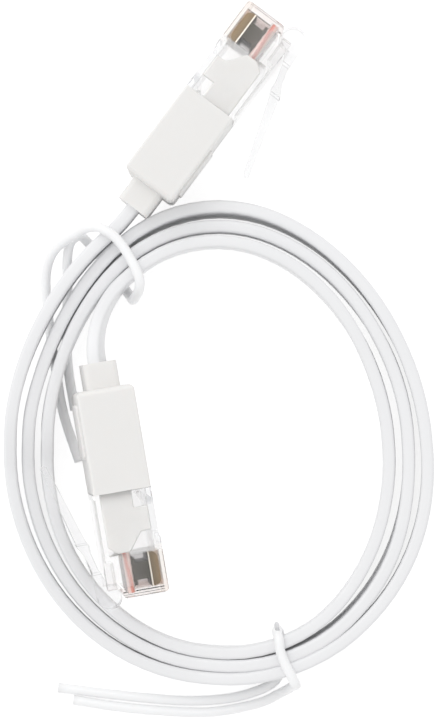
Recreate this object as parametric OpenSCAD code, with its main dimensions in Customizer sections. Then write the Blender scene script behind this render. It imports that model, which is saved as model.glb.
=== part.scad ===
/* [Plug] */
// Width of the plug body, across its eight contacts
plug_w = 11.68; // [11.5:0.02:11.9]
// Height of the plug body, from its contact side to its latch side
plug_h = 6.5; // [6.3:0.05:6.8]
// Length of the plug body from its rear end to its nose
plug_l = 21.46; // [20.5:0.1:23]
// Length of the plug body that stays bare in front of the boot
bare_l = 11.46; // [11:0.1:12.5]
// Wall of the clear plug body
plug_wall = 0.75; // [0.6:0.05:0.8]
// Rounding of the nose edges
nose_r = 0.45; // [0.2:0.05:0.6]
// Height of the thin nose that carries the latch
nose_h = 4.95; // [4.85:0.05:5.1]
// Length of the thin nose
nose_l = 1.1; // [0.9:0.05:1.3]

/* [Contacts] */
// Distance between neighbouring contacts
contact_pitch = 1.02; // [0.98:0.01:1.05]
// Thickness of a contact blade
contact_t = 0.32; // [0.25:0.01:0.36]
// Length of the gold-plated head of a contact
contact_l = 3.7; // [3.3:0.1:3.8]
// Depth of the contact heads below the contact face
contact_sink = 0.55; // [0.5:0.05:0.7]
// Distance from the nose to the contact heads
contact_nose_gap = 0.76; // [0.7:0.02:0.9]
// Clearance on each side of a blade in its slot
contact_gap = 0.03; // [0.02:0.01:0.05]
// Depth of the slotted comb below the contact face
comb_sink = 0.35; // [0.2:0.05:0.4]

/* [Wires] */
// Diameter of an insulated wire
wire_d = 0.9; // [0.8:0.02:0.92]
// Diameter of the copper conductor inside a wire
core_d = 0.46; // [0.3:0.02:0.5]
// Depth of the wire centres below the contact face
wire_y = 3.92; // [3.85:0.01:3.95]

/* [Load bar] */
// Clearance round a wire in the load bar and in the nose
wire_gap = 0.03; // [0.02:0.01:0.04]
// Thickness of the load bar floor under the wires
bar_floor = 0.4; // [0.3:0.05:0.45]
// Length of the load bar
bar_l = 3.6; // [3.2:0.1:3.6]

/* [Latch] */
// Radius of the round latch root
root_r = 1.32; // [1.2:0.02:1.34]
// Width of the latch root
root_w = 4; // [3.6:0.1:4.6]
// Width of the latch across its locking ears
ear_w = 6.2; // [5.8:0.1:6.4]
// Width of the finger tab
tab_w = 3.25; // [3:0.05:3.5]
// Distance from the latch root to the locking shoulders
ear_l = 6.2; // [6:0.1:6.4]
// Length of the finger tab behind the shoulders
tab_l = 9; // [8:0.1:9.6]
// Clearance round the latch root in its seat
root_gap = 0.05; // [0.04:0.01:0.1]
// Clearance on each side of the latch in its channel
latch_gap = 0.3; // [0.2:0.05:0.4]

/* [Boot] */
// Wall of the boot behind the plug body
boot_wall = 1.25; // [1:0.05:2]
// Width of the boot, in the plane of the flat cable
boot_w = 12.6; // [12.4:0.05:13]
// Height of the boot
boot_h = 6.25; // [6.2:0.05:6.6]
// Rounding of the boot edges
boot_r = 0.6; // [0.3:0.05:0.8]
// Height of the raised finger pad on the latch side
pad_rise = 0.25; // [0.15:0.05:0.4]
// Length of the raised finger pad
pad_l = 5.9; // [4:0.1:7]
// Width of the raised finger pad
pad_w = 8; // [6:0.1:10]
// Length of the collar behind the boot
collar_l = 2.85; // [2:0.05:3]
// Width of the collar
collar_w = 8.4; // [7.5:0.1:9.5]
// Height of the collar
collar_h = 3.7; // [3.2:0.1:3.9]

/* [Cable] */
// Width of the flat cable
cable_w = 6; // [5.6:0.1:6.2]
// Thickness of the flat cable
cable_t = 1.4; // [1.3:0.05:1.5]
// Half of the coil's width, at the middle turn
coil_rx = 21.1; // [20.9:0.1:23]
// Half of the coil's length, at the middle turn
coil_ry = 24.2; // [24:0.1:26]
// Least gap between neighbouring turns
turn_gap = 0.42; // [0.42:0.01:0.5]
// Extra gap between the turns at the sides of the coil
side_gap = 0.42; // [0.2:0.01:0.5]

/* [Ties] */
// Diameter of the plastic-coated tie
tie_d = 1.1; // [0.9:0.05:1.1]
// Diameter of the steel wire inside the tie
tie_core_d = 0.5; // [0.3:0.05:0.6]

/* [Hidden] */
ENDS = ["a", "b"];
PARTS = ["plug_housing", "latch", "contacts", "load_bar", "inner_mould", "boot",
         "orange_pair", "green_pair", "blue_pair", "brown_pair", "conductors"];
$fn = 48;
eps = 0.01;

// Colours
CLEAR = [0.88, 0.9, 0.92, 0.45];
BOOT_WHITE = [0.94, 0.93, 0.92];
CABLE_WHITE = [0.92, 0.93, 0.95];
MOULD_WHITE = [0.9, 0.9, 0.89];
TIE_WHITE = [0.96, 0.96, 0.96];
GOLD = [0.72, 0.6, 0.38];
COPPER = [0.78, 0.45, 0.28];
STEEL = [0.6, 0.6, 0.62];

// Every plug is drawn along X with its boot front at x = 0 and its nose at x = bare_l.
// Y runs from the contact face to the latch side and Z across the contacts.
grip_l = plug_l - bare_l;
boot_l = grip_l + boot_wall;
cavity_w = plug_w - 2 * plug_wall;
latch_wall_y = plug_h - plug_wall;
contact_x1 = bare_l - contact_nose_gap;
contact_x0 = contact_x1 - contact_l;
contact_mid = (contact_x0 + contact_x1) / 2;
comb_x0 = contact_x0 - 0.1;
comb_w = 7 * contact_pitch + 1.2;
wire_top = wire_y - wire_d / 2;
foot_y = wire_top - 0.02;
tine_y = wire_y + 0.12;
bay_top = wire_top - 0.03;
bar_y1 = wire_y + wire_d / 2 + bar_floor;
bar_x1 = bare_l - nose_l;
bar_x0 = bar_x1 - bar_l;
bar_w = 7 * contact_pitch + wire_d + 0.5;
wire_x0 = bar_x0 - 0.1;
wire_x1 = bare_l - 0.4;
rear_step = 0.12;
rear_step_x = 5.4;
grip_step = 0.35;

// The strain-relief window, the tongue that is pressed in through it, and the groove ahead of it
window_x0 = 0.15;
window_x1 = 1.9;
window_w = 6.5;
tongue_y = 1.55;
groove_x0 = 5.1;
groove_x1 = 6.2;
groove_depth = 0.4;

// The latch root turns about root_x, root_y
root_x = bare_l - 0.13;
root_y = nose_h + root_r - root_gap;
channel_y = plug_h - 0.35;
pocket_y = plug_h - 1.1;
pocket_l = 2.8;
ear_x = root_x - ear_l + 0.07;
tab_x = ear_x - tab_l;

collar_x0 = -boot_l - collar_l;
body_mid_y = plug_h / 2;

// Contact 1 is on the +Z side
function pin_z(k) = (4.5 - k) * contact_pitch;

// The two wires of each pair
ORANGE = [1, 2];
GREEN = [3, 6];
BLUE = [4, 5];
BROWN = [7, 8];

// ---- Coil: three turns, each an oval that steps in by one pitch where the upper tie holds it ----
turns = 3;
turn_rings = 24;
coil_cx = 0;
coil_cy = -8.6;
coil_skew = 0.7;
coil_egg = 0.9;
coil_drop = 0.6;
tie_angle = 120;
step_span = 0.12;
end_rise = 1.7;
// Height that a tie lifts the cable by, where it passes beneath
tie_lift = tie_d + 0.1;

function mid_radius(f) =
    1 / sqrt(pow(cos(f) / coil_rx, 2) + pow(sin(f) / coil_ry, 2))
    - coil_skew * sin(2 * f) * (1 + cos(f)) / 2
    + max(0, -sin(f)) * (coil_egg * max(0, -cos(f)) + coil_drop);
function coil_spot(f) =
    [coil_cx + mid_radius(f) * cos(f), coil_cy + mid_radius(f) * sin(f), 0];
function pitch(f) = cable_t + turn_gap + side_gap * pow(cos(f), 2);
function inward(a) =
    let (k = round(a), d = a - k)
    k + (abs(d) >= step_span ? 0.5 * sign(d) : 0.5 * sin(90 * d / step_span));
function ease(x) = let (s = min(1, max(0, x))) s * s * (3 - 2 * s);
function hump(f, f0, f1, run) = ease(1 + (f - f0) / run) * ease(1 + (f1 - f) / run);
function height(f) =
    cable_w / 2 + tie_lift * (hump(f, 112, 172, 16) + hump(f, 279, 297, 14));
function rise(a) = end_rise * (ease((a - turns + 0.5) * 2) + ease((0.5 - a) * 2));
function coil_point(a) =
    let (f = (tie_angle + 360 * a) % 360,
         r = mid_radius(f) + pitch(f) * (turns / 2 - inward(a)))
    [coil_cx + r * cos(f), coil_cy + r * sin(f), height(f) + rise(a)];
COIL = [for (k = [0 : turns * turn_rings]) coil_point(k / turn_rings)];

// The plugs and the ties keep their places beside these three spots of the middle turn
TOP_SPOT = coil_spot(tie_angle);
LOW_SPOT = coil_spot(286);
LEFT_SPOT = coil_spot(230);

// Where each plug lies: [x, y, height of its axis, direction of its nose, lean]
PLACE_A = [TOP_SPOT.x + 10.68, TOP_SPOT.y + 16.74, boot_w / 2, 53.1, 0];
PLACE_B = [LEFT_SPOT.x + 4.11, LEFT_SPOT.y + 12.93, cable_w + 2.85, -80.4, 5.5];

function unit(v) = v / norm(v);
COIL_IN = unit(coil_point(0.002) - coil_point(-0.002));
COIL_OUT = unit(coil_point(turns + 0.002) - coil_point(turns - 0.002));

// ---- Leads: from each collar to its end of the coil ----
function to_world(p, place) =
    let (y = -(p.y - body_mid_y) * cos(place[4]) - p.z * sin(place[4]),
         z = (p.y - body_mid_y) * sin(place[4]) - p.z * cos(place[4]))
    [place.x + p.x * cos(place[3]) - y * sin(place[3]),
     place.y + p.x * sin(place[3]) + y * cos(place[3]),
     place.z + z];
function rearward(place) = [-cos(place[3]), -sin(place[3]), 0];
EXIT_A = to_world([collar_x0, body_mid_y, 0], PLACE_A);
EXIT_B = to_world([collar_x0, body_mid_y, 0], PLACE_B);
function curve(a, a_dir, b, b_dir, n) =
    let (reach = norm(b - a) / 3, c = a + reach * a_dir, d = b - reach * b_dir)
    [for (k = [0 : n])
        let (t = k / n, u = 1 - t)
        u * u * u * a + 3 * u * u * t * c + 3 * u * t * t * d + t * t * t * b];
LEAD_A = curve(EXIT_A, rearward(PLACE_A), COIL[0], COIL_IN, 4);
LEAD_B = curve(COIL[turns * turn_rings], COIL_OUT, EXIT_B, -rearward(PLACE_B), 6);

// The flat jacket is six-sided, with its width upright
edge_cut = 0.45;
JACKET = [[cable_t / 2, cable_w / 2 - edge_cut], [0, cable_w / 2],
          [-cable_t / 2, cable_w / 2 - edge_cut], [-cable_t / 2, edge_cut - cable_w / 2],
          [0, -cable_w / 2], [cable_t / 2, edge_cut - cable_w / 2]];

function heading(path, k, first, last) =
    k == 0 ? first
    : k == len(path) - 1 ? last
    : unit(unit(path[k + 1] - path[k]) + unit(path[k] - path[k - 1]));
function level(v) = unit([v.x, v.y, 0]);
function flat_ring(p, d, roll) =
    let (s = [-level(d).y, level(d).x, 0])
    [for (q = JACKET)
        p + s * (q.x * cos(roll) - q.y * sin(roll))
          + [0, 0, 1] * (q.x * sin(roll) + q.y * cos(roll))];

// A tube through rings of equal length, with triangles only and both ends closed
function tube_faces(rings, sides) =
    concat(
        [for (k = [0 : rings - 2]) for (j = [0 : sides - 1])
            let (a = k * sides + j, b = k * sides + (j + 1) % sides)
            each [[a, a + sides, b], [b, a + sides, b + sides]]],
        [for (j = [1 : sides - 2]) [0, j, j + 1]],
        [for (j = [1 : sides - 2])
            let (e = (rings - 1) * sides)
            [e, e + j + 1, e + j]]);
module flat_cable(path, first, last, lean = 0) {
    n = len(path) - 1;
    rings = [for (k = [0 : n])
        flat_ring(path[k], heading(path, k, first, last), lean * k / n)];
    polyhedron(points = [for (r = rings) each r], faces = tube_faces(n + 1, len(JACKET)));
}

// The least gap between neighbouring turns, measured between their centrelines
COIL_CHECK = [for (k = [0 : (turns - 1) * turn_rings])
    let (p = COIL[k])
    min([for (j = [k + turn_rings - 2 : min(k + turn_rings + 2, turns * turn_rings) - 1])
        let (a = COIL[j], b = COIL[j + 1],
             ab = [b.x - a.x, b.y - a.y],
             t = min(1, max(0, ([p.x - a.x, p.y - a.y] * ab) / (ab * ab))))
        norm([a.x + ab.x * t - p.x, a.y + ab.y * t - p.y])])];
echo(coil_least_gap = min(COIL_CHECK) - cable_t);

// ---- Ties: wires that go once round the cable, with two free tails ----
tie_z = tie_d / 2;
UPPER_TIE = [for (p = [
    [-3.97, -22.61, 0.55], [-4.67, -20.61, 0.55], [-5.47, -18.21, 0.55], [-6.07, -15.81, 0.55],
    [-6.57, -12.61, 0.55], [-7.17, -8.81, 0.55], [-7.57, -5.21, 0.6], [-7.67, -1.81, 1.6],
    [-6.87, 0.59, 3.4], [-5.27, 2.09, 5.2], [-3.47, 2.99, 7.2], [-2.47, 3.29, 9.2],
    [-1.15, 3.17, 10.1], [0.6, 1.93, 10.1], [1.95, -0.05, 10.1], [2.95, -2.2, 10.1],
    [2.95, -3.5, 9.4], [2.5, -4.27, 7.4], [2.14, -4.57, 5], [1.94, -4.37, 2.4],
    [1.5, -3.75, 0.7], [0.3, -2.21, 0.55], [-1.27, -0.01, 0.55], [-2.87, 1.79, 0.9],
    [-3.87, 2.59, 2.6], [-4.87, 1.79, 3.4], [-5.27, -0.21, 2.2], [-5.27, -2.61, 0.8],
    [-5.37, -6.21, 0.55], [-5.37, -9.61, 0.55], [-5.17, -12.61, 0.55], [-4.47, -16.81, 0.55]])
    TOP_SPOT + p];
LOWER_TIE = [for (p = [
    [-23.2, -5.2, 0.55], [-18.2, -5.98, 0.55], [-11.9, -6.53, 0.55], [-7.2, -6.53, 0.55],
    [-2.5, -5.6, 0.55], [-0.4, -4.65, 0.6], [0.9, -3.85, 1.7], [1.55, -3.2, 3.6],
    [1.65, -2.98, 6], [1.5, -2.7, 7.5], [1, -1.65, 7.9], [0.4, -0.5, 7.9],
    [-0.15, 0.97, 7.9], [-0.3, 2.5, 7.85], [-0.46, 3.3, 7.3], [-0.53, 3.5, 5.6],
    [-0.48, 3.5, 3], [-0.36, 3.3, 1.3], [-0.15, 2.5, 0.55], [0.05, 0.8, 0.55],
    [0.1, -1.2, 0.55], [-0.15, -2.4, 0.55], [-0.85, -3.3, 0.55], [-2.5, -4.15, 0.55],
    [-5.6, -5, 0.55], [-10.3, -5.3, 0.55], [-16.6, -4.83, 0.55], [-24.9, -3.83, 0.55]])
    LOW_SPOT + p];
tie_sides = 8;

// Each ring of a round tube keeps its first corner as near as it can to the one before
function start_side(d) = unit(cross(d, abs(d.z) > 0.9 ? [1, 0, 0] : [0, 0, 1]));
function sides_along(dirs, k = 0, side = undef) =
    let (d = dirs[k],
         s = is_undef(side) ? start_side(d) : unit(side - d * (side * d)))
    k == len(dirs) - 1 ? [s] : concat([s], sides_along(dirs, k + 1, s));
function tie_rings(path, r) =
    let (n = len(path),
         dirs = [for (k = [0 : n - 1])
             heading(path, k, unit(path[1] - path[0]), unit(path[n - 1] - path[n - 2]))],
         first = sides_along(dirs))
    [for (k = [0 : n - 1])
        let (u = first[k], v = cross(dirs[k], u))
        for (j = [0 : tie_sides - 1])
            path[k] + r * (u * cos(360 * j / tie_sides) + v * sin(360 * j / tie_sides))];
module tie_wire(path, r) {
    polyhedron(points = tie_rings(path, r), faces = tube_faces(len(path), tie_sides));
}
module tie_coat(path) {
    n = len(path) * tie_sides;
    outer = tube_faces(len(path), tie_sides);
    walls = 2 * (len(path) - 1) * tie_sides;
    last = n - tie_sides;
    polyhedron(
        points = concat(tie_rings(path, tie_d / 2), tie_rings(path, tie_core_d / 2)),
        faces = concat(
            [for (k = [0 : walls - 1]) outer[k]],
            [for (k = [0 : walls - 1]) [outer[k][2] + n, outer[k][1] + n, outer[k][0] + n]],
            [for (j = [0 : tie_sides - 1])
                let (i = (j + 1) % tie_sides)
                each [[i, j + n, j], [i, i + n, j + n]]],
            [for (j = [0 : tie_sides - 1])
                let (i = (j + 1) % tie_sides)
                each [[last + j, last + j + n, last + i],
                      [last + i, last + j + n, last + i + n]]]));
}

// ---- Shapes used by the plug pieces ----
module at_end(place) {
    translate([place.x, place.y, place.z])
        rotate([0, 0, place[3]])
            rotate([180 - place[4], 0, 0])
                translate([0, -body_mid_y, 0])
                    children();
}
module across(w) {
    translate([0, 0, -w / 2])
        linear_extrude(w) children();
}
module through(y0, y1) {
    translate([0, y1, 0])
        rotate([90, 0, 0])
            linear_extrude(y1 - y0) children();
}
module block(x0, x1, y0, y1, w) {
    translate([x0, y0, -w / 2]) cube([x1 - x0, y1 - y0, w]);
}
module rounded(x0, x1, y0, y1, r) {
    translate([x0 + r, y0]) square([x1 - x0 - 2 * r, y1 - y0]);
    translate([x0, y0 + r]) square([x1 - x0, y1 - y0 - 2 * r]);
    for (x = [x0 + r, x1 - r])
        for (y = [y0 + r, y1 - r])
            translate([x, y]) circle(r);
}
module rod(x0, x1, y, z, d) {
    translate([x0, y, z])
        rotate([0, 90, 0]) cylinder(h = x1 - x0, d = d);
}

// ---- Plug housing: clear shell with a comb of contact slots, a wire bay and a latch seat ----
module housing_outline() {
    translate([-grip_l, grip_step]) square([grip_l + 1, plug_h - 2 * grip_step]);
    square([bar_x1, plug_h]);
    rounded(bar_x1 - 1, bare_l, 0, nose_h, nose_r);
}
module housing_plan() {
    translate([-grip_l, -plug_w / 2]) square([grip_l + bare_l / 2, plug_w]);
    rounded(bare_l / 3, bare_l, -plug_w / 2, plug_w / 2, nose_r);
}
module plug_housing() {
    color(CLEAR)
        difference() {
            union() {
                difference() {
                    intersection() {
                        across(plug_w) housing_outline();
                        through(0, plug_h) housing_plan();
                    }
                    // Cavity for the inner mould
                    block(-grip_l - eps, bar_x0 + 0.05, plug_wall, latch_wall_y, cavity_w);
                    // Bay for the load bar and the wires
                    block(bar_x0, bar_x1, bay_top, bar_y1, bar_w);
                    // Comb recess and the slots that hold the contacts
                    block(comb_x0, bare_l + 1, -1, comb_sink, comb_w);
                    for (k = [1 : 8])
                        translate([0, 0, pin_z(k)])
                            block(contact_x0 - contact_gap, contact_x1 + contact_gap,
                                  -1, bay_top + eps, contact_t + 2 * contact_gap);
                    // Blind holes that hold the wire ends
                    for (k = [1 : 8])
                        rod(bar_x1 - eps, wire_x1, wire_y, pin_z(k), wire_d + 2 * wire_gap);
                    // Strain-relief window, and the groove ahead of it
                    block(window_x0, window_x1, -1, plug_wall + eps, window_w);
                    block(groove_x0, groove_x1, -1, groove_depth, comb_w);
                    // Low step behind the comb
                    block(-eps, rear_step_x, -1, rear_step, plug_w + 1);
                    // Latch channel, pocket and round seat
                    block(window_x0 + 0.45, bare_l, channel_y, plug_h + 1, ear_w + 2 * latch_gap);
                    block(bar_x1 - pocket_l, bare_l, pocket_y, plug_h + 1, ear_w + 2 * latch_gap);
                    translate([root_x, root_y])
                        across(root_w + 2 * latch_gap) circle(root_r + root_gap);
                }
                // Tongue pressed in behind the window
                across(window_w - 0.4)
                    polygon([[window_x1 + 0.1, rear_step], [window_x1 + 0.1, plug_wall],
                             [window_x1, plug_wall], [window_x0 + 0.4, tongue_y],
                             [window_x0 + 0.25, tongue_y - 0.35], [window_x1 - 0.7, rear_step]]);
            }
        }
}

// ---- Latch: round root, locking ears and a tapered finger tab ----
ARM_LOW = [[root_x - 0.7, root_y - 0.6], [root_x - 1.5, root_y], [root_x - 3.2, root_y + 0.75],
           [ear_x + 1, root_y + 1.28], [ear_x, root_y + 1.33]];
ARM_HIGH = [[ear_x, root_y + 2.75], [ear_x + 1.4, root_y + 1.95],
            [ear_x + 3.1, root_y + 1.5], [root_x, root_y + root_r]];
TAB = [[ear_x + 0.5, root_y + 1.3], [tab_x, root_y + 4.45], [tab_x - 0.18, root_y + 4.75],
       [tab_x + 0.1, root_y + 5.15], [ear_x + 0.5, root_y + 2.5]];
module latch() {
    color(CLEAR) {
        translate([root_x, root_y])
            across(root_w) circle(root_r);
        across(root_w) polygon(concat(ARM_LOW, ARM_HIGH));
        across(ear_w)
            intersection() {
                polygon(concat(ARM_LOW, ARM_HIGH));
                translate([ear_x, 0]) square([3.4, 3 * plug_h]);
            }
        across(tab_w) polygon(TAB);
    }
}

// ---- Contacts: gold head, narrow waist, foot and three piercing tines ----
waist_in = 0.7;
foot_in = 0.35;
tine_half = 0.22;
TINES = [contact_mid - 0.95, contact_mid, contact_mid + 0.95];
module blade_outline() {
    rounded(contact_x0, contact_x1, contact_sink, contact_sink + 2.2, 0.7);
    translate([contact_x0, contact_sink + 0.9])
        square([contact_l, 0.75]);
    translate([contact_x0 + waist_in, contact_sink + 1.5])
        square([contact_l - 2 * waist_in, foot_y - contact_sink - 1.5]);
    translate([contact_x0 + foot_in, foot_y - 0.35])
        square([contact_l - 2 * foot_in, 0.35]);
    for (x = TINES)
        polygon([[x - tine_half, foot_y - eps], [x + tine_half, foot_y - eps], [x, tine_y]]);
}
module blade_cut() {
    translate([contact_x0 - 1, contact_sink + 1.65])
        square([1 + waist_in, foot_y - 0.35 - contact_sink - 1.65]);
    translate([contact_x1 - waist_in, contact_sink + 1.65])
        square([1 + waist_in, foot_y - 0.35 - contact_sink - 1.65]);
}
module contacts() {
    color(GOLD)
        for (k = [1 : 8])
            translate([0, 0, pin_z(k)])
                across(contact_t)
                    difference() {
                        blade_outline();
                        blade_cut();
                    }
}
// The room that the tines take in the wires
module tine_room() {
    for (k = [1 : 8])
        translate([0, 0, pin_z(k)])
            across(contact_t)
                for (x = TINES)
                    polygon([[x - tine_half, foot_y - eps], [x + tine_half, foot_y - eps],
                             [x, tine_y]]);
}

// ---- Load bar: a comb of eight open grooves under the wires ----
module load_bar() {
    color(CLEAR)
        difference() {
            block(bar_x0, bar_x1, wire_y - 0.15, bar_y1, bar_w);
            for (k = [1 : 8])
                rod(bar_x0 - 1, bar_x1 + 1, wire_y, pin_z(k), wire_d + 2 * wire_gap);
        }
}

// ---- Inner mould: white block that holds the cable end and the wires ----
module inner_mould() {
    color(MOULD_WHITE)
        difference() {
            across(cavity_w)
                polygon([[-grip_l, plug_wall], [bar_x0 - 2.1, plug_wall], [bar_x0 - 2.1, plug_wall + 1.1],
                         [wire_x0, wire_top - 0.1], [wire_x0, bar_y1], [wire_x0 - 0.8, latch_wall_y],
                         [-grip_l, latch_wall_y]]);
            block(window_x0, window_x1, 0, tongue_y + 0.1, plug_w);
        }
}

// ---- Boot: soft overmould with a finger pad and a collar for the flat cable ----
boot_y0 = (plug_h - boot_h) / 2;
boot_y1 = boot_y0 + boot_h;
module boot_side(half) {
    difference() {
        rounded(-boot_l, boot_r, -half, half, boot_r);
        translate([0, -2 * half]) square([2, 4 * half]);
    }
}
module boot() {
    color(BOOT_WHITE)
        difference() {
            union() {
                intersection() {
                    translate([0, body_mid_y, 0]) across(boot_w) boot_side(boot_h / 2);
                    through(boot_y0, boot_y1) boot_side(boot_w / 2);
                    translate([-boot_l, 0, 0])
                        rotate([90, 0, 90])
                            linear_extrude(boot_l)
                                rounded(boot_y0, boot_y1, -boot_w / 2, boot_w / 2, boot_r / 2);
                }
                // Finger pad
                through(boot_y1 - 0.2, boot_y1 + pad_rise)
                    rounded(-boot_l + 1.35, -boot_l + 1.35 + pad_l, -pad_w / 2, pad_w / 2, 0.5);
                // Collar
                translate([collar_x0, body_mid_y, 0])
                    rotate([90, 0, 90])
                        linear_extrude(collar_l + 0.5)
                            rounded(-collar_h / 2, collar_h / 2, -collar_w / 2, collar_w / 2, boot_r);
            }
            block(-grip_l, 1, grip_step, plug_h - grip_step, plug_w);
        }
}

// ---- Wires ----
module wires(pins, tint) {
    color(tint)
        difference() {
            for (k = pins)
                difference() {
                    rod(wire_x0, wire_x1, wire_y, pin_z(k), wire_d);
                    rod(wire_x0 - 1, wire_x1 + 1, wire_y, pin_z(k), core_d);
                }
            tine_room();
        }
}
module conductors() {
    color(COPPER)
        difference() {
            for (k = [1 : 8])
                rod(wire_x0, wire_x1, wire_y, pin_z(k), core_d);
            tine_room();
        }
}

module plug_end(e, place) {
    at_end(place) plug_housing();
    at_end(place) latch();
    at_end(place) contacts();
    at_end(place) load_bar();
    at_end(place) inner_mould();
    at_end(place) boot();
    at_end(place) wires(ORANGE, "orange");
    at_end(place) wires(GREEN, "green");
    at_end(place) wires(BLUE, "blue");
    at_end(place) wires(BROWN, "brown");
    at_end(place) conductors();
}

// ---- The flat cable ----
module cable_lead_a() {
    color(CABLE_WHITE) flat_cable(LEAD_A, rearward(PLACE_A), COIL_IN);
}
module cable_coil() {
    color(CABLE_WHITE) flat_cable(COIL, COIL_IN, COIL_OUT);
}
module cable_lead_b() {
    color(CABLE_WHITE) flat_cable(LEAD_B, COIL_OUT, -rearward(PLACE_B), PLACE_B[4]);
}

plug_end("a", PLACE_A);
plug_end("b", PLACE_B);
cable_lead_a();
cable_coil();
cable_lead_b();
color(TIE_WHITE) tie_coat(UPPER_TIE);  // upper_tie
color(STEEL) tie_wire(UPPER_TIE, tie_core_d / 2);  // upper_tie_core
color(TIE_WHITE) tie_coat(LOWER_TIE);  // lower_tie
color(STEEL) tie_wire(LOWER_TIE, tie_core_d / 2);  // lower_tie_core
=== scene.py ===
"""Coiled flat patch cable with two clear modular plugs and two wire ties."""
import math

import bpy
import bmesh
import numpy as np
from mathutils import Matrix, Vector


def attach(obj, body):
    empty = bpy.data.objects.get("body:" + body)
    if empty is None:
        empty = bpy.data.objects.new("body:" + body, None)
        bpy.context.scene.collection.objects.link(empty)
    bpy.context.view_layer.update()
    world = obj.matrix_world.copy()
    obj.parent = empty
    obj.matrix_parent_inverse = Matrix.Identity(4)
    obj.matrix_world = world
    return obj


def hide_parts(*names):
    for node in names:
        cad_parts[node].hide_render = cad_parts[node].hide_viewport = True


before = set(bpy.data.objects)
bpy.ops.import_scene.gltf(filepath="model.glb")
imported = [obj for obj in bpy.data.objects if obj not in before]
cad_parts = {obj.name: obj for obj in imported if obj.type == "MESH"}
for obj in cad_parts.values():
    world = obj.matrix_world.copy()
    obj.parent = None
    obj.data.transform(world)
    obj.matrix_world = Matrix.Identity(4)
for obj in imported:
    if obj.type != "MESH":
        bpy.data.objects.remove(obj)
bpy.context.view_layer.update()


# ---- Camera ----
# It looks straight down on the table from 35 cm, so the floor under the cable is the plane of the picture.
camera = bpy.data.objects.new("camera", bpy.data.cameras.new("camera"))
bpy.context.collection.objects.link(camera)
camera.location = (0.0, 0.0005, 0.350)
camera.data.sensor_fit = "VERTICAL"
camera.data.sensor_height = 24
camera.data.lens = 103.96
camera.data.clip_start = 0.01
bpy.context.scene.camera = camera
bpy.context.scene.view_settings.view_transform = "Standard"


# ---- Flat cable ----
# Four pairs side by side in one white PVC jacket, extruded flat and 6 mm wide.
# It stands on edge in three close turns, and each end runs into a boot collar.
MM = 0.001
CABLE_WIDTH = 6.0
CABLE_THICK = 1.4
CABLE_EDGE = 0.35
COIL_RX, COIL_RY, COIL_CY = 21.1, 24.2, -8.6
# The middle turn departs from an ellipse: it slants, and bulges at the bottom and at the lower left
SLANT, LOW_BULGE, LOW_LEFT_BULGE = 0.7, 0.6, 0.9
TURNS = 3
RINGS_PER_TURN = 96
TIE_ANGLE = 120
# Between even turns, and what the sides have on top of it
TURN_GAP, SIDE_GAP = 0.42, 0.42
# Share of a turn before and after the upper tie in which the cable steps inward
STEP_SPAN = 0.12
# Where the coil lies on a tie: degrees from, degrees to, degrees of slope
ON_UPPER_TIE, ON_LOWER_TIE = (112, 172, 16), (279, 297, 14)
ON_TIE_LIFT = 1.2
# The first and the last part of the coil climb to the plugs: millimetres, and share of a turn
END_RISE, END_RISE_SPAN = 1.7, 0.5
LEAD_A_STEPS, LEAD_B_STEPS = 10, 16
# Share of a turn that gives the direction at an end of the coil
NEAR = 0.002
# The jacket goes on a little way inside each collar
IN_COLLAR = 0.8
BOOT_A_EXIT = Vector((-9.5111, 17.1731, 6.3))
BOOT_B_EXIT = Vector((-13.3738, 0.198456, 8.85))
PLUG_A_TURN, PLUG_A_LEAN = 53.1, 0.0
PLUG_B_TURN, PLUG_B_LEAN = -80.4, 5.5

# How far each turn has settled from its even place: degrees round the coil, and millimetres outward
SETTLED = (
    (120, -0.6), (135, -0.95), (150, -0.5), (180, -0.1), (210, -0.55), (255, -0.5), (270, -0.4),
    (285, -0.34), (300, -0.1), (330, -0.05), (360, -0.35), (405, -0.5), (420, -0.5), (435, -0.2),
    (450, 0.02), (465, -0.1), (480, -0.4), (495, -0.72), (510, -0.42), (540, 0.25), (570, -0.2),
    (600, -0.25), (615, -0.1), (630, 0), (645, 0.05), (660, 0.3), (675, 0.15), (690, 0.05),
    (705, -0.25), (720, -0.1), (735, 0), (750, -0.1), (780, -0.4), (795, -0.33), (810, -0.2),
    (825, -0.1), (840, -0.15), (855, -0.25), (870, 0.08), (885, 0.24), (900, 0.25), (930, 0.12),
    (960, 0), (975, 0.28), (990, 0.38), (1005, 0.46), (1020, 0.48), (1035, 0.02), (1050, -0.2),
    (1065, -0.25), (1080, -0.05), (1110, -0.15), (1140, -0.37), (1155, -0.28), (1170, -0.13),
    (1185, 0.08), (1200, 0.2))
SETTLED_SPREAD = 12

# How far the cable leans out of upright on its way round: degrees round the coil, and degrees of lean
LEANING = (
    (120, 0), (145, -1), (165, -3.7), (385, -3.7), (408, 0), (430, 2.5), (445, 4.5), (465, 4.5),
    (480, 0), (505, -1), (525, -3.7), (636, -3.7), (650, 0.5), (685, 0), (705, -3.7), (750, -3.7),
    (775, 0), (840, 0), (865, -1), (885, -3.7), (1110, -3.7), (1135, 0), (1200, 0))
LEANING_SPREAD = 8
# Millimetres up for each degree, which keeps the lower edge on the table
LEAN_LIFT = 0.0055


def ease(x):
    x = min(1.0, max(0.0, x))
    return x * x * (3 - 2 * x)


def hump(f, start, end, run):
    return ease(1 + (f - start) / run) * ease(1 + (end - f) / run)


def middle_turn(f):
    c, s = math.cos(math.radians(f)), math.sin(math.radians(f))
    return (1 / math.hypot(c / COIL_RX, s / COIL_RY) - SLANT * s * c * (1 + c)
            + max(0, -s) * (LOW_LEFT_BULGE * max(0, -c) + LOW_BULGE))


def pitch(f):
    return CABLE_THICK + TURN_GAP + SIDE_GAP * math.cos(math.radians(f)) ** 2


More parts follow.
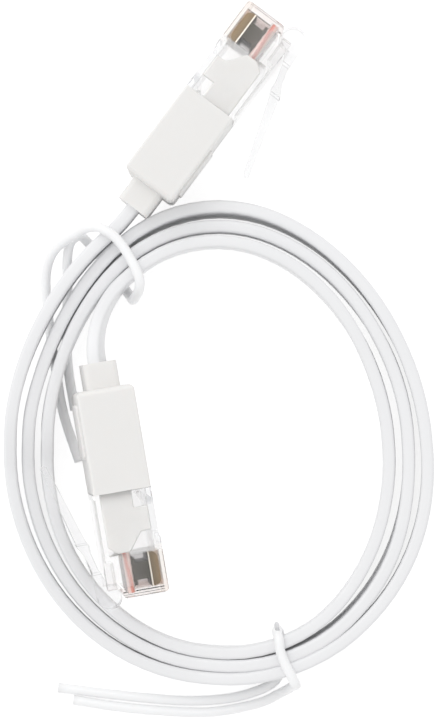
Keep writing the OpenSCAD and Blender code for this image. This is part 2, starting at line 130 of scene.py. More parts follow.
def steps_in(a):
    """How many pitches the cable has come inward after a turns."""
    k = round(a)
    d = a - k
    if abs(d) >= STEP_SPAN:
        return k + math.copysign(0.5, d)
    return k + 0.5 * math.sin(math.radians(90 * d / STEP_SPAN))


def even_out(turned, rows, spread):
    """The rows' value there, averaged over that many degrees to either side."""
    near = [np.interp(turned + k * spread / 4, *zip(*rows)) for k in range(-4, 5)]
    return float(sum(near) / len(near))


def settled(a):
    return even_out(TIE_ANGLE + 360 * a, SETTLED, SETTLED_SPREAD)


def leaning(a):
    return even_out(TIE_ANGLE + 360 * a, LEANING, LEANING_SPREAD)


def coil_point(a):
    """The middle of the cable a turns after the start of the coil."""
    f = (TIE_ANGLE + 360 * a) % 360
    r = middle_turn(f) + pitch(f) * (TURNS / 2 - steps_in(a)) + settled(a)
    lift = ON_TIE_LIFT * (hump(f, *ON_UPPER_TIE) + hump(f, *ON_LOWER_TIE))
    climb = ease((a - TURNS + END_RISE_SPAN) / END_RISE_SPAN) + ease((END_RISE_SPAN - a) / END_RISE_SPAN)
    return Vector((r * math.cos(math.radians(f)), COIL_CY + r * math.sin(math.radians(f)),
                   CABLE_WIDTH / 2 + lift + END_RISE * climb + LEAN_LIFT * abs(leaning(a))))


def lead(a, a_way, b, b_way, n):
    """A curve in n steps that leaves a one way and comes into b another way."""
    reach = (b - a).length / 3
    c, d = a + reach * a_way, b - reach * b_way
    points = []
    for k in range(n + 1):
        t = k / n
        u = 1 - t
        points.append(u ** 3 * a + 3 * u * u * t * c + 3 * u * t * t * d + t ** 3 * b)
    return points


def way_of(turn):
    return Vector((math.cos(math.radians(turn)), math.sin(math.radians(turn)), 0))


ring_turns = [k / RINGS_PER_TURN for k in range(TURNS * RINGS_PER_TURN + 1)]
coil = [coil_point(a) for a in ring_turns]
coil_in = (coil_point(NEAR) - coil_point(-NEAR)).normalized()
coil_out = (coil_point(TURNS + NEAR) - coil_point(TURNS - NEAR)).normalized()
lead_a = lead(BOOT_A_EXIT, -way_of(PLUG_A_TURN), coil[0], coil_in, LEAD_A_STEPS)
lead_b = lead(coil[-1], coil_out, BOOT_B_EXIT, way_of(PLUG_B_TURN), LEAD_B_STEPS)
cable_line = ([BOOT_A_EXIT + IN_COLLAR * way_of(PLUG_A_TURN)] + lead_a[:-1] + coil + lead_b[1:]
              + [BOOT_B_EXIT + IN_COLLAR * way_of(PLUG_B_TURN)])
cable_lean = ([0.0] * len(lead_a) + [leaning(a) for a in ring_turns]
              + [PLUG_B_LEAN * k / LEAD_B_STEPS for k in range(1, LEAD_B_STEPS + 1)] + [PLUG_B_LEAN])


def placed(name, data):
    obj = bpy.data.objects.new(name, data)
    bpy.context.collection.objects.link(obj)
    return obj


def join(tree, start, end):
    tree.links.new(start, end)


def new_tree(name, *inputs):
    tree = bpy.data.node_groups.new(name, "GeometryNodeTree")
    for title, kind in (("Geometry", "Geometry"),) + inputs + (("Material", "Material"),):
        tree.interface.new_socket(title, in_out="INPUT", socket_type="NodeSocket" + kind)
    tree.interface.new_socket("Geometry", in_out="OUTPUT", socket_type="NodeSocketGeometry")
    return tree, tree.nodes.new("NodeGroupInput"), tree.nodes.new("NodeGroupOutput")


def end_tree(tree, geometry, given, result):
    """Makes the copies real and gives them the material."""
    real = tree.nodes.new("GeometryNodeRealizeInstances")
    join(tree, geometry, real.inputs["Geometry"])
    finish = tree.nodes.new("GeometryNodeSetMaterial")
    join(tree, real.outputs["Geometry"], finish.inputs["Geometry"])
    join(tree, given.outputs["Material"], finish.inputs["Material"])
    join(tree, finish.outputs["Geometry"], result.inputs["Geometry"])


def grown(name, source, tree, material, **values):
    """Runs a tree on an object and gives back its result as a plain mesh piece."""
    modifier = source.modifiers.new("grow", "NODES")
    modifier.node_group = tree
    by_name = {i.name: i.identifier for i in tree.interface.items_tree if i.in_out == "INPUT"}
    for title, value in values.items():
        modifier[by_name[title.replace("_", " ").capitalize()]] = value
    modifier[by_name["Material"]] = material
    source.update_tag()
    evaluated = source.evaluated_get(bpy.context.evaluated_depsgraph_get())
    mesh = bpy.data.meshes.new_from_object(evaluated)
    mesh.name = name
    bpy.data.objects.remove(source)
    return placed(name, mesh)


def line_object(name, points, tilts=None):
    curve = bpy.data.curves.new(name, "CURVE")
    curve.dimensions = "3D"
    spline = curve.splines.new("POLY")
    spline.points.add(len(points) - 1)
    for k, p in enumerate(points):
        spline.points[k].co = (p[0] * MM, p[1] * MM, p[2] * MM, 1)
        spline.points[k].tilt = math.radians(tilts[k]) if tilts else 0
    return placed(name, curve)


def feed(tree, value, socket):
    """Gives a socket a plain value, or the output of another node."""
    if isinstance(value, bpy.types.NodeSocket):
        join(tree, value, socket)
    else:
        socket.default_value = value


def value_between(tree, source, low=0, high=1, at_low=0, at_high=1, kind="LINEAR"):
    """Takes a value from one range to another. The last bound may be another node's output."""
    node = tree.nodes.new("ShaderNodeMapRange")
    node.interpolation_type = kind
    feed(tree, source, node.inputs["Value"])
    for title, value in (("From Min", low), ("From Max", high), ("To Min", at_low), ("To Max", at_high)):
        feed(tree, value, node.inputs[title])
    return node.outputs["Result"]


def maths(tree, operation, *values):
    node = tree.nodes.new("ShaderNodeMath")
    node.operation = operation
    for k, value in enumerate(values):
        feed(tree, value, node.inputs[k])
    return node.outputs[0]


def mixed(tree, share, one, two, blend="MIX"):
    """Mixes two colours, each a plain one or the output of another node."""
    node = tree.nodes.new("ShaderNodeMix")
    node.data_type, node.blend_type = "RGBA", blend
    join(tree, share, node.inputs["Factor"])
    for slot, colour in ((6, one), (7, two)):
        plain = not isinstance(colour, bpy.types.NodeSocket)
        feed(tree, (*colour, 1) if plain else colour, node.inputs[slot])
    return node.outputs[2]


def noise(tree, where, scale, detail=2):
    node = tree.nodes.new("ShaderNodeTexNoise")
    node.inputs["Detail"].default_value = detail
    join(tree, where, node.inputs["Vector"])
    feed(tree, scale, node.inputs["Scale"])
    return node.outputs["Fac"]


def own_place(tree):
    return tree.nodes.new("ShaderNodeTexCoord").outputs["Object"]


def new_material(name):
    material = bpy.data.materials.new(name)
    material.use_nodes = True
    return material, material.node_tree, material.node_tree.nodes["Principled BSDF"]


def bumped(tree, shader, height, strength, distance):
    node = tree.nodes.new("ShaderNodeBump")
    node.inputs["Strength"].default_value = strength
    node.inputs["Distance"].default_value = distance
    join(tree, height, node.inputs["Height"])
    join(tree, node.outputs["Normal"], shader.inputs["Normal"])


def sweep_tree(flat):
    """A tube along a line: flat and upright with round edges, or round."""
    jacket = ("flat jacket", ("Width", "Float"), ("Thickness", "Float"), ("Edge radius", "Float"),
              ("Edge steps", "Int"))
    coat = ("tie coat", ("Diameter", "Float"), ("Sides", "Int"))
    tree, given, result = new_tree(*(jacket if flat else coat))
    if flat:
        shape = tree.nodes.new("GeometryNodeCurvePrimitiveQuadrilateral")
        join(tree, given.outputs["Thickness"], shape.inputs["Width"])
        join(tree, given.outputs["Width"], shape.inputs["Height"])
        edge = tree.nodes.new("GeometryNodeFilletCurve")
        edge.mode = "POLY"
        edge.inputs["Limit Radius"].default_value = True
        join(tree, given.outputs["Edge steps"], edge.inputs["Count"])
        join(tree, given.outputs["Edge radius"], edge.inputs["Radius"])
        join(tree, shape.outputs[0], edge.inputs["Curve"])
        outline = edge.outputs["Curve"]
    else:
        shape = tree.nodes.new("GeometryNodeCurvePrimitiveCircle")
        join(tree, maths(tree, "MULTIPLY", given.outputs["Diameter"], 0.5), shape.inputs["Radius"])
        join(tree, given.outputs["Sides"], shape.inputs["Resolution"])
        outline = shape.outputs[0]
    along = tree.nodes.new("GeometryNodeSplineParameter")
    run = tree.nodes.new("GeometryNodeStoreNamedAttribute")
    run.data_type, run.domain = "FLOAT", "POINT"
    run.inputs["Name"].default_value = "run"
    join(tree, given.outputs["Geometry"], run.inputs["Geometry"])
    join(tree, along.outputs["Length"], run.inputs["Value"])
    way = tree.nodes.new("GeometryNodeSetCurveNormal")
    way.mode = "Z_UP" if flat else "MINIMUM_TWIST"
    join(tree, run.outputs["Geometry"], way.inputs["Curve"])
    tube = tree.nodes.new("GeometryNodeCurveToMesh")
    tube.inputs["Fill Caps"].default_value = flat
    join(tree, way.outputs["Curve"], tube.inputs["Curve"])
    join(tree, outline, tube.inputs["Profile Curve"])
    end_tree(tree, tube.outputs["Mesh"], given, result)
    return tree


CLOUD_SIZE, CLOUD_SHADE = 120, (0.55, 0.56, 0.58)


def plastic_skin():
    """Fine moulding grain and a faint cloudiness, for every white plastic."""
    group = bpy.data.node_groups.new("plastic skin", "ShaderNodeTree")
    for title, kind, way in (
            ("Grain size", "Float", "INPUT"), ("Cloud strength", "Float", "INPUT"),
            ("Base roughness", "Float", "INPUT"), ("Base colour", "Color", "INPUT"),
            ("Colour", "Color", "OUTPUT"), ("Roughness", "Float", "OUTPUT"), ("Height", "Float", "OUTPUT")):
        group.interface.new_socket(title, in_out=way, socket_type="NodeSocket" + kind)
    given, result = group.nodes.new("NodeGroupInput").outputs, group.nodes.new("NodeGroupOutput").inputs
    place = own_place(group)
    grain = noise(group, place, given["Grain size"], 3)
    cloud = noise(group, place, CLOUD_SIZE, 4)
    shade = value_between(group, cloud, at_high=given["Cloud strength"])
    join(group, mixed(group, shade, given["Base colour"], CLOUD_SHADE, "MULTIPLY"), result["Colour"])
    join(group, maths(group, "MULTIPLY_ADD", grain, 0.2, given["Base roughness"]), result["Roughness"])
    join(group, grain, result["Height"])
    return group


PLASTIC_SKIN = plastic_skin()


def white_plastic(name, colour, roughness, grain, bump, cloud=0.05, under=0.0):
    """Its last three values are strengths: of the grain, of the clouds and of the light under the surface."""
    material, tree, shader = new_material(name)
    skin = tree.nodes.new("ShaderNodeGroup")
    skin.node_tree = PLASTIC_SKIN
    for title, value in (("Grain size", grain), ("Cloud strength", cloud), ("Base roughness", roughness),
                         ("Base colour", (*colour, 1))):
        skin.inputs[title].default_value = value
    join(tree, skin.outputs["Colour"], shader.inputs["Base Color"])
    join(tree, skin.outputs["Roughness"], shader.inputs["Roughness"])
    bumped(tree, shader, skin.outputs["Height"], bump, 0.03 * MM)
    for title, value in (("IOR", 1.5), ("Subsurface Weight", under), ("Subsurface Radius", (1, 0.9, 0.85)),
                         ("Subsurface Scale", 0.8 * MM)):
        shader.inputs[title].default_value = value
    material.diffuse_color = (*colour, 1)
    return material


def let_light_in(material, share):
    """Light reaches what lies behind thin or milky plastic."""
    tree = material.node_tree
    in_shadow = tree.nodes.new("ShaderNodeLightPath").outputs["Is Shadow Ray"]
    opacity = maths(tree, "MULTIPLY_ADD", in_shadow, -share, 1)
    join(tree, opacity, tree.nodes["Principled BSDF"].inputs["Alpha"])


def smooth(piece, angle):
    mesh = piece.data
    mesh.polygons.foreach_set("use_smooth", [True] * len(mesh.polygons))
    mesh.set_sharp_from_angle(angle=math.radians(angle))


CABLE_PVC = white_plastic("white cable jacket", (0.81, 0.812, 0.822), 0.32, grain=2500, bump=0.08)
let_light_in(CABLE_PVC, 0.5)
cable = grown("flat_cable", line_object("cable_line", cable_line, cable_lean), sweep_tree(True), CABLE_PVC,
              width=CABLE_WIDTH * MM, thickness=CABLE_THICK * MM, edge_radius=CABLE_EDGE * MM, edge_steps=5)
smooth(cable, 40)
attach(cable, "cable")
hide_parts("cable_lead_a", "cable_coil", "cable_lead_b")


# ---- Wire ties ----
# Soft steel wire in a round white plastic coat. Each goes once round the cable and has two free tails.
TIE_ACROSS, TIE_WALL = 1.1, 0.29
UPPER_SPOT = Vector((-11.72518, 11.70861, 0))
LOWER_SPOT = Vector((6.8161, -32.37055, 0))
UPPER_TIE = [
    (-3.97, -22.61, 0.55), (-4.67, -20.61, 0.55), (-5.47, -18.21, 0.55), (-6.07, -15.81, 0.55),
    (-6.57, -12.61, 0.55), (-7.17, -8.81, 0.55), (-7.57, -5.21, 0.6), (-7.67, -1.81, 1.6),
    (-6.87, 0.59, 3.4), (-5.27, 2.09, 5.2), (-3.47, 2.99, 7.2), (-2.47, 3.29, 9.2), (-1.15, 3.17, 10.1),
    (0.6, 1.93, 10.1), (1.95, -0.05, 10.1), (2.95, -2.2, 10.1), (2.95, -3.5, 9.4), (2.5, -4.27, 7.4),
    (2.14, -4.57, 5), (1.94, -4.37, 2.4), (1.5, -3.75, 0.7), (0.3, -2.21, 0.55), (-1.27, -0.01, 0.55),
    (-2.87, 1.79, 0.9), (-3.87, 2.59, 2.6), (-4.87, 1.79, 3.4), (-5.27, -0.21, 2.2),
    (-5.27, -2.61, 0.8), (-5.37, -6.21, 0.55), (-5.37, -9.61, 0.55), (-5.17, -12.61, 0.55),
    (-4.47, -16.81, 0.55)]
LOWER_TIE = [
    (-23.2, -5.2, 0.55), (-18.2, -5.98, 0.55), (-11.9, -6.53, 0.55), (-7.2, -6.53, 0.55),
    (-2.5, -5.6, 0.55), (-0.4, -4.65, 0.6), (0.9, -3.85, 1.7), (1.55, -3.2, 3.6), (1.65, -2.98, 6),
    (1.5, -2.7, 7.5), (1, -1.65, 7.9), (0.4, -0.5, 7.9), (-0.15, 0.97, 7.9), (-0.3, 2.2, 7.85),
    (-0.42, 2.72, 7.3), (-0.46, 2.8, 5.6), (-0.42, 2.8, 3), (-0.3, 2.7, 1.3), (-0.1, 2.2, 0.55),
    (0.05, 0.8, 0.55), (0.1, -1.2, 0.55), (-0.15, -2.4, 0.55), (-0.85, -3.3, 0.55), (-2.5, -4.15, 0.55),
    (-5.6, -5, 0.55), (-10.3, -5.3, 0.55), (-16.6, -4.83, 0.55), (-24.9, -3.83, 0.55)]


def eased_line(points, parts=4):
    """A curve through all the points."""
    ends = [2 * points[0] - points[1]] + points + [2 * points[-1] - points[-2]]
    line = []
    for k in range(1, len(ends) - 2):
        a, b, c, d = ends[k - 1:k + 3]
        for j in range(parts):
            t = j / parts
            line.append(0.5 * (2 * b + (c - a) * t + (2 * a - 5 * b + 4 * c - d) * t * t
                               + (3 * b - a - 3 * c + d) * t ** 3))
    return line + [points[-1]]


TIE_COAT = white_plastic("tie coat", (0.92, 0.92, 0.925), 0.22, grain=3000, bump=0.05, cloud=0.03,
                         under=0.15)
let_light_in(TIE_COAT, 0.6)
coat_tree = sweep_tree(False)
for name, spot, offsets in (("upper_tie", UPPER_SPOT, UPPER_TIE), ("lower_tie", LOWER_SPOT, LOWER_TIE)):
    path = eased_line([spot + Vector(p) for p in offsets])
    for p in path:
        p.z = max(p.z, TIE_ACROSS / 2)
    coat = grown(name + "_coat", line_object(name + "_line", path), coat_tree, TIE_COAT,
                 diameter=TIE_ACROSS * MM, sides=16)
    wall = coat.modifiers.new("wall", "SOLIDIFY")
    wall.thickness = TIE_WALL * MM
    wall.offset = -1
    smooth(coat, 50)
    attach(coat, "cable")
    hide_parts(name)


def drawn_wire(name, dark, light):
    """Bare metal, with the fine marks that the drawing die leaves."""
    material, tree, shader = new_material(name)
    shader.inputs["Metallic"].default_value = 1
    marks = noise(tree, own_place(tree), 3000)
    join(tree, value_between(tree, marks, 0, 1, 0.25, 0.5), shader.inputs["Roughness"])
    join(tree, mixed(tree, marks, dark, light), shader.inputs["Base Color"])
    return material


def dress(node, material):
    """Gives a solid of the frame a material and leaves its shape alone."""
    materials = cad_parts[node].data.materials
    materials.clear()
    materials.append(material)


TIE_STEEL = drawn_wire("tie wire", (0.5, 0.5, 0.52), (0.66, 0.66, 0.67))
for node in ("upper_tie_core", "lower_tie_core"):
    dress(node, TIE_STEEL)


# ---- Boots ----
# One soft white overmould per plug, with a raised finger pad and a collar round the flat cable.
# The mould leaves every edge rounded.
PLUG_LIES = {"a": (Vector((-1.045, 28.449, 6.3)), PLUG_A_TURN, PLUG_A_LEAN),
             "b": (Vector((-11.0224, -13.704, 8.85)), PLUG_B_TURN, PLUG_B_LEAN)}
PLUG_MIDDLE = 3.25


def on_plug(point, end):
    """A place in the scene as the plug has it: forward from the boot, in from the contact face, across."""
    origin, turn, lean = PLUG_LIES[end]
    d = point / MM - origin
    c, s = math.cos(math.radians(turn)), math.sin(math.radians(turn))
    x, side = d.x * c + d.y * s, -d.x * s + d.y * c
    c, s = math.cos(math.radians(lean)), math.sin(math.radians(lean))
    return Vector((x, PLUG_MIDDLE - side * c + d.z * s, -side * s - d.z * c))


def off_plug(point, end):
    """The same the other way, for a vector in millimetres on the plug."""
    origin, turn, lean = PLUG_LIES[end]
    y, z = point[1] - PLUG_MIDDLE, point[2]
    c, s = math.cos(math.radians(lean)), math.sin(math.radians(lean))
    side, up = -y * c - z * s, y * s - z * c
    c, s = math.cos(math.radians(turn)), math.sin(math.radians(turn))
    return (origin + Vector((point[0] * c - side * s, point[0] * s + side * c, up))) * MM


def store_places(mesh, places):
    """Keeps each point's place on its plug, for the materials."""
    kept = mesh.attributes.new("plug_place", "FLOAT_VECTOR", "POINT")
    for k, place in enumerate(places):
        kept.data[k].vector = place


def stored_place(tree):
    """The place on the plug, in a material: the vector, and its X, Y and Z."""
    place = tree.nodes.new("ShaderNodeAttribute")
    place.attribute_name = "plug_place"
    parts = tree.nodes.new("ShaderNodeSeparateXYZ")
    join(tree, place.outputs["Vector"], parts.inputs[0])
    return place.outputs["Vector"], parts.outputs


def flat_between_edges(mesh):
    """Turns each point's normal to the largest faces round it, so that only the rounded edges look round."""
    normals = [Vector() for v in mesh.vertices]
    for face in mesh.polygons:
        for v in face.vertices:
            normals[v] += face.normal * face.area
    mesh.polygons.foreach_set("use_smooth", [True] * len(mesh.polygons))
    mesh.normals_split_custom_set_from_vertices([n.normalized() for n in normals])


def moulded(node, end, material, name, body="cable", *, edge, segments=2, shrink=0.0, reshape=None):
    """A copy of a solid with its edges rounded as a mould leaves them."""
    mesh = bpy.data.meshes.new(name)
    work = bmesh.new()
    work.from_mesh(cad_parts[node].data)
    bmesh.ops.remove_doubles(work, verts=work.verts, dist=1e-6)
    bmesh.ops.dissolve_limit(work, angle_limit=math.radians(1), verts=work.verts, edges=work.edges)
    if reshape:
        for v in work.verts:
            v.co = off_plug(reshape(on_plug(v.co, end)), end)
    if shrink:
        work.normal_update()
        moves = [(v, v.normal * (-shrink * MM)) for v in work.verts]
        for v, move in moves:
            v.co += move
    work.to_mesh(mesh)
    work.free()
    mesh.materials.append(material)
    piece = placed(name, mesh)
    bevel = piece.modifiers.new("edges", "BEVEL")
    bevel.width = edge * MM
    bevel.segments = segments
    bevel.limit_method = "ANGLE"
    bevel.angle_limit = math.radians(30)
    bevel.use_clamp_overlap = True
    evaluated = piece.evaluated_get(bpy.context.evaluated_depsgraph_get())
    piece.data = bpy.data.meshes.new_from_object(evaluated)
    piece.modifiers.clear()
    store_places(piece.data, [on_plug(v.co, end) for v in piece.data.vertices])
    flat_between_edges(piece.data)
    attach(piece, body)
    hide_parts(node)
    return piece


BOOT_PVC = white_plastic("soft white boot", (0.79, 0.78, 0.765), 0.42, grain=1800, bump=0.12, cloud=0.06,
                         under=0.25)
let_light_in(BOOT_PVC, 0.65)
for end in "ab":
    moulded("boot_" + end, end, BOOT_PVC, "boot_shell_" + end, edge=0.1, segments=3)


# ---- Inner moulds ----
# A white block moulded round the cable end. It fills the back of the shell and slopes down to the wires.
MOULD_PVC = white_plastic("inner mould", (0.76, 0.755, 0.74), 0.5, grain=1500, bump=0.2, cloud=0.12,
                          under=0.35)
let_light_in(MOULD_PVC, 0.9)
NOTCH_FLOOR, WINDOW_FLOOR = 1.65, 2.2
NOTCH_FRONT, NOTCH_DRAFT = 1.9, 0.8
# How near a point lies to one of those to be part of it
NEARLY = 0.02


def deep_notch(p):
    """The notch goes in past the shell's tongue. Its front wall has draft, to let go of the mould."""
    if abs(p.x - NOTCH_FRONT) < NEARLY and p.y < NOTCH_FLOOR + NEARLY and p.z > 0:
        p.x += NOTCH_DRAFT
    if abs(p.y - NOTCH_FLOOR) < NEARLY:
        p.y = WINDOW_FLOOR
    return p


for end in "ab":
    moulded("inner_mould_" + end, end, MOULD_PVC, "mould_block_" + end, edge=0.15, shrink=0.05,
            reshape=deep_notch)


# ---- Clear shells, load bars and latches ----
# Clear polycarbonate, injection moulded: the shell with its comb of slots, the bar that spaces the wires,
# and the springy latch with two locking ears and a finger tab.
# Well under real polycarbonate's 1.58: higher values draw black lines along these thin walls
CLEAR_IOR = 1.16
# Where the nose, the slots and the wall on the contact side begin and end, on the plug
NOSE_FROM, NOSE_FULL = 9.6, 11.2
SLOTS_FROM, SLOTS_FULL = 6.2, 7.2
WALL_FULL, WALL_END = 0.76, 0.8


def clear_plastic(name, tint, rim_shade, roughness, clearness):
    material, tree, shader = new_material(name)
    slant = tree.nodes.new("ShaderNodeLayerWeight")
    slant.inputs["Blend"].default_value = 0.5
    # Painted shade: the colour darkens to rim_shade times the tint where the surface turns edge-on, drawing
    # the grey outlines at the plastic's edges
    rim = value_between(tree, slant.outputs["Facing"], 0.1, 0.9)
    join(tree, mixed(tree, rim, tint, [c * rim_shade for c in tint]), shader.inputs["Base Color"])
    shader.inputs["Transmission Weight"].default_value = clearness
    shader.inputs["IOR"].default_value = CLEAR_IOR
    flow = noise(tree, own_place(tree), 500)
    haze = value_between(tree, flow, 0, 1, roughness * 0.5, roughness * 1.5)
    join(tree, haze, shader.inputs["Roughness"])
    bumped(tree, shader, flow, 0.06, 0.05 * MM)
    let_light_in(material, 0.9)
    return material


def tint_shell_with_painted_light(material):
    """Paints on the shell the light that its inside throws through it: a painted warm light from the wire
    ends on the nose, and on the wall on the contact side, which is deep to look along, a deeper tint with the
    contacts' colour painted in."""
    tree = material.node_tree
    base = tree.nodes["Principled BSDF"].inputs["Base Color"]
    parts = stored_place(tree)[1]
    nose = value_between(tree, parts["X"], NOSE_FROM, NOSE_FULL, kind="SMOOTHSTEP")
    # Painted light: the warm colour of the wire ends, multiplied onto the nose
    painted_wire_light = mixed(tree, nose, base.links[0].from_socket, (0.97, 0.93, 0.915), "MULTIPLY")
    beside_slots = value_between(tree, parts["X"], SLOTS_FROM, SLOTS_FULL)
    # The wall's own deeper tint, and beside the slots a painted reflection of the contacts' colour
    wall_tint_and_painted_contact_light = mixed(tree, beside_slots, (0.955, 0.96, 0.967), (0.96, 0.93, 0.9))
    in_wall = value_between(tree, parts["Y"], WALL_FULL, WALL_END, 1, 0)
    join(tree, mixed(tree, in_wall, painted_wire_light, wall_tint_and_painted_contact_light, "MULTIPLY"), base)


# Light passes many thin clear walls here before it leaves the plug
for bounces in ("max_bounces", "transmission_bounces", "transparent_max_bounces"):
    setattr(bpy.context.scene.cycles, bounces, 48)
CLEAR_SHELL = clear_plastic("clear shell", (0.95, 0.947, 0.947), 0.76, 0.04, 0.965)
tint_shell_with_painted_light(CLEAR_SHELL)
CLEAR_LATCH = clear_plastic("clear latch", (0.935, 0.935, 0.94), 0.62, 0.07, 0.85)
CLEAR_BAR = clear_plastic("clear load bar", (0.96, 0.955, 0.95), 0.9, 0.12, 0.85)
for end in "ab":
    moulded("plug_housing_" + end, end, CLEAR_SHELL, "plug_shell_" + end, edge=0.05)
    moulded("load_bar_" + end, end, CLEAR_BAR, "wire_comb_" + end, edge=0.03, shrink=0.012)
    moulded("latch_" + end, end, CLEAR_LATCH, "spring_latch_" + end, "latch_" + end, edge=0.2,
            segments=4)


# ---- Contacts ----
# Eight stamped phosphor-bronze blades per plug, plated on the head. A narrow waist leads down to a foot,
# whose three tines go into the wire. All eight are the same blade, pushed into the comb side by side.
PINS, PIN_PITCH = 8, 1.02
BLADE_BACK, BLADE_FRONT = 7.0, 10.7
BLADE_THICK, BLADE_EDGE = 0.32, 0.03
HEAD_TOP, HEAD_ROUND, HEAD_LOW = 0.55, 0.7, 1.65
WAIST_IN, FOOT_IN = 0.9, 0.35
FOOT_TOP, FOOT_LOW = 3.1, 3.45
TINE_END, TINE_HALF, TINES_APART = 4.04, 0.22, 0.95
# Depth at which the tones below end, and each tone's place on the way there
TONES_END = 3.6
# The near-white tone is a painted highlight along the head's lower edge, and the near-black tone under it a
# painted shade line
PLATING_TONES_AND_PAINTED_EDGE_LIGHT = ((0.0, (0.31, 0.225, 0.125)), (0.275, (0.19, 0.14, 0.08)), (0.295, (0.95, 0.9, 0.82)),
                 (0.325, (0.95, 0.9, 0.82)), (0.345, (0.075, 0.07, 0.055)), (1.0, (0.14, 0.13, 0.12)))


def blade_outline():
    """Half of the outline, from the middle of the head to the middle tine, then the same mirrored."""
    middle = (BLADE_BACK + BLADE_FRONT) / 2
    half = (BLADE_FRONT - BLADE_BACK) / 2
    side = [(half - HEAD_ROUND + HEAD_ROUND * math.sin(math.radians(t)),
             HEAD_TOP + HEAD_ROUND - HEAD_ROUND * math.cos(math.radians(t))) for t in range(0, 91, 15)]
    side += [(half, HEAD_LOW), (half - WAIST_IN, HEAD_LOW), (half - WAIST_IN, FOOT_TOP),
             (half - FOOT_IN, FOOT_TOP), (half - FOOT_IN, FOOT_LOW), (TINES_APART + TINE_HALF, FOOT_LOW),
             (TINES_APART, TINE_END), (TINES_APART - TINE_HALF, FOOT_LOW), (TINE_HALF, FOOT_LOW)]
    return ([(middle + x, y) for x, y in side] + [(middle, TINE_END)]
            + [(middle - x, y) for x, y in reversed(side)])


def blank_from(work, name):
    """Ends the work on a mesh and puts it in the scene."""
    bmesh.ops.recalc_face_normals(work, faces=work.faces)
    mesh = bpy.data.meshes.new(name)
    work.to_mesh(mesh)
    work.free()
    return placed(name, mesh)


def stamped(name, outline, thick, edge):
    """A flat blank of sheet metal, with its edges broken."""
    work = bmesh.new()
    blank = work.faces.new([work.verts.new((x, y, -thick / 2)) for x, y in outline])
    raised = bmesh.ops.extrude_face_region(work, geom=[blank])
    top = [v for v in raised["geom"] if isinstance(v, bmesh.types.BMVert)]
    bmesh.ops.translate(work, vec=(0, 0, thick), verts=top)
    bmesh.ops.recalc_face_normals(work, faces=work.faces)
    rims = [e for e in work.edges if abs(e.verts[0].co.z - e.verts[1].co.z) < 1e-6]
    bmesh.ops.bevel(work, geom=rims, offset=edge, segments=2, affect="EDGES")
    return blank_from(work, name)


def row_tree():
    """Copies one piece across the plug: Count of them, Pitch apart, the first at Start."""
    tree, given, result = new_tree("row across the plug", ("Count", "Int"), ("Pitch", "Float"),
                                   ("Start", "Float"))
    spots = tree.nodes.new("GeometryNodeMeshLine")
    join(tree, given.outputs["Count"], spots.inputs["Count"])
    for title, socket in (("Start", "Start Location"), ("Pitch", "Offset")):
        way = tree.nodes.new("ShaderNodeCombineXYZ")
        join(tree, given.outputs[title], way.inputs["Z"])
        join(tree, way.outputs[0], spots.inputs[socket])
    copies = tree.nodes.new("GeometryNodeInstanceOnPoints")
    join(tree, spots.outputs[0], copies.inputs["Points"])
    join(tree, given.outputs["Geometry"], copies.inputs["Instance"])
    end_tree(tree, copies.outputs[0], given, result)
    return tree


def seat_in_plug(piece, end, node):
    """Moves a piece drawn on the plug's own lines to where the plug lies."""
    store_places(piece.data, [v.co.copy() for v in piece.data.vertices])
    for v in piece.data.vertices:
        v.co = off_plug(v.co, end)
    smooth(piece, 35)
    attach(piece, "cable")
    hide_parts(node)


def plated_bronze_with_painted_edge_light():
    """Gold on the head, with a painted highlight along its lower edge and a painted shade line under it,
    then darker tones down the bare blade, with marks that run down it.
    """
    material, tree, shader = new_material("contact plating with painted edge light")
    shader.inputs["Metallic"].default_value = 1
    place, parts = stored_place(tree)
    tones = tree.nodes.new("ShaderNodeValToRGB")
    for k, (at, colour) in enumerate(PLATING_TONES_AND_PAINTED_EDGE_LIGHT):
        step = tones.color_ramp.elements[k] if k < 2 else tones.color_ramp.elements.new(at)
        step.position = at
        step.color = (*colour, 1)
    join(tree, value_between(tree, parts["Y"], HEAD_TOP, TONES_END), tones.inputs["Fac"])
    stretch = tree.nodes.new("ShaderNodeMapping")
    stretch.inputs["Scale"].default_value = (1.0, 0.12, 1.0)
    join(tree, place, stretch.inputs["Vector"])
    brushed = noise(tree, stretch.outputs["Vector"], 9)
    join(tree, value_between(tree, brushed, 0, 1, 0.2, 0.5), shader.inputs["Roughness"])
    worn = mixed(tree, brushed, tones.outputs["Color"], (0.72, 0.7, 0.68), "MULTIPLY")
    join(tree, worn, shader.inputs["Base Color"])
    return material


GOLD_WITH_PAINTED_EDGE_LIGHT = plated_bronze_with_painted_edge_light()
across_plug = row_tree()
for end in "ab":
    blank = stamped("blade_blank_" + end, blade_outline(), BLADE_THICK, BLADE_EDGE)
    blades = grown("contact_blades_" + end, blank, across_plug, GOLD_WITH_PAINTED_EDGE_LIGHT, count=PINS, pitch=PIN_PITCH,
                   start=(1 - PINS) / 2 * PIN_PITCH)
    seat_in_plug(blades, end, "contacts_" + end)


# ---- Wires ----
# Eight insulated copper wires per plug, in four colour pairs, pressed into the comb side by side.
# The insulation is pale and the colour runs along it as a stripe.
WIRE_MIDDLE, WIRE_ACROSS = 3.92, 0.9
WIRE_BACK, WIRE_END = 6.66, 11.06
WIRE_SIDES, WIRE_EDGE = 24, 0.06
# The stripe lies this far below the wire's middle line and wanders from it along the wire
STRIPE_BELOW, STRIPE_WANDER = 0.62, 0.07
STRIPE_FULL, STRIPE_END = 0.12, 0.26
# Each pair's colour, its first wire in pitches from the middle, and how many pitches on the other wire is
WIRE_PAIRS = {"orange": ((0.8, 0.3, 0.12), 2.5, 1), "green": ((0.1, 0.34, 0.14), -1.5, 3),
              "blue": ((0.06, 0.15, 0.45), -0.5, 1), "brown": ((0.66, 0.25, 0.2), -3.5, 1)}


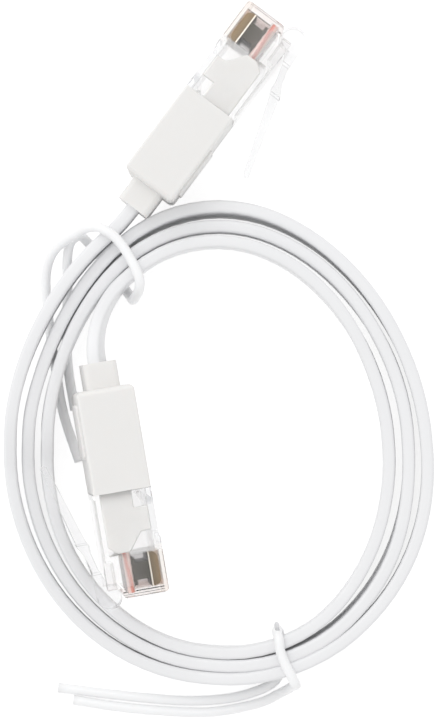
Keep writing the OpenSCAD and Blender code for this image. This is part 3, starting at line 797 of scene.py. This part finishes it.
def wire_blank(name):
    """One wire end: a round rod with its edges turned over."""
    work = bmesh.new()
    r = WIRE_ACROSS / 2
    rings = []
    for x, radius in ((WIRE_BACK, r - WIRE_EDGE), (WIRE_BACK + WIRE_EDGE, r), (WIRE_END - WIRE_EDGE, r),
                      (WIRE_END, r - WIRE_EDGE)):
        turns = [math.radians(360 * k / WIRE_SIDES) for k in range(WIRE_SIDES)]
        rings.append([work.verts.new((x, WIRE_MIDDLE + radius * math.cos(t), radius * math.sin(t)))
                      for t in turns])
    for one, two in zip(rings, rings[1:]):
        for k in range(WIRE_SIDES):
            after = (k + 1) % WIRE_SIDES
            work.faces.new((one[k], one[after], two[after], two[k]))
    work.faces.new(rings[0])
    work.faces.new(list(reversed(rings[-1])))
    return blank_from(work, name)


def striped_insulation(name, colour):
    material = white_plastic(name, (0.82, 0.66, 0.62), 0.3, grain=5000, bump=0.04, cloud=0.05)
    tree = material.node_tree
    base = tree.nodes["Principled BSDF"].inputs["Base Color"]
    parts = stored_place(tree)[1]
    wander = maths(tree, "MULTIPLY_ADD", parts["X"], STRIPE_WANDER, -WIRE_MIDDLE - STRIPE_BELOW)
    away = maths(tree, "ABSOLUTE", maths(tree, "ADD", parts["Y"], wander))
    stripe = value_between(tree, away, STRIPE_FULL, STRIPE_END, 1, 0)
    join(tree, mixed(tree, stripe, base.links[0].from_socket, colour), base)
    return material


for pair, (colour, first, apart) in WIRE_PAIRS.items():
    insulation = striped_insulation(pair + " insulation", colour)
    for end in "ab":
        wires = grown(pair + "_wires_" + end, wire_blank(pair + "_blank_" + end), across_plug, insulation,
                      count=2, pitch=apart * PIN_PITCH, start=first * PIN_PITCH)
        seat_in_plug(wires, end, pair + "_pair_" + end)

COPPER = drawn_wire("copper strands", (0.6, 0.28, 0.14), (0.8, 0.42, 0.24))
for end in "ab":
    dress("conductors_" + end, COPPER)


# ---- Floor and light ----
# A plain white table under soft light from all round, with one large lamp above.
FLOOR_REACH = 1.5
LAMP_PLACE, LAMP_SIZE, LAMP_POWER = Vector((-0.25, 0.35, 0.7)), 0.5, 2.2
corners = [(x * FLOOR_REACH, y * FLOOR_REACH, 0) for x, y in ((-1, -1), (1, -1), (1, 1), (-1, 1))]
floor_mesh = bpy.data.meshes.new("floor")
floor_mesh.from_pydata(corners, [], [(0, 1, 2, 3)])
placed("floor", floor_mesh)

# White where it is looked at, through the plastic and in the metal too. The object itself only gets
# the light that white paper throws back.
paper, tree, shader = new_material("white table")
shader.inputs["Roughness"].default_value = 0.9
shader.inputs["Specular IOR Level"].default_value = 0.0
diffuse = tree.nodes.new("ShaderNodeLightPath").outputs["Is Diffuse Ray"]
join(tree, value_between(tree, diffuse, 0, 1, 0.35, 0.85), shader.inputs["Base Color"])
shader.inputs["Emission Color"].default_value = (1, 1, 1, 1)
join(tree, value_between(tree, diffuse, 0, 1, 0.8, 0), shader.inputs["Emission Strength"])
floor_mesh.materials.append(paper)

world = bpy.data.worlds.new("studio")
bpy.context.scene.world = world
world.use_nodes = True
tree = world.node_tree
sky = tree.nodes["Background"]
sky.inputs["Color"].default_value = (1, 1, 1, 1)
rays = tree.nodes.new("ShaderNodeLightPath").outputs
seen = maths(tree, "MAXIMUM", rays["Is Camera Ray"], rays["Is Transmission Ray"])
seen = maths(tree, "MAXIMUM", seen, rays["Is Glossy Ray"])
join(tree, value_between(tree, seen, 0, 1, 0.82, 1), sky.inputs["Strength"])

lamp = placed("lamp_above", bpy.data.lights.new("lamp_above", "AREA"))
lamp.data.size = LAMP_SIZE
lamp.data.energy = LAMP_POWER
lamp.location = LAMP_PLACE
lamp.rotation_euler = (-LAMP_PLACE).to_track_quat("-Z", "Y").to_euler()
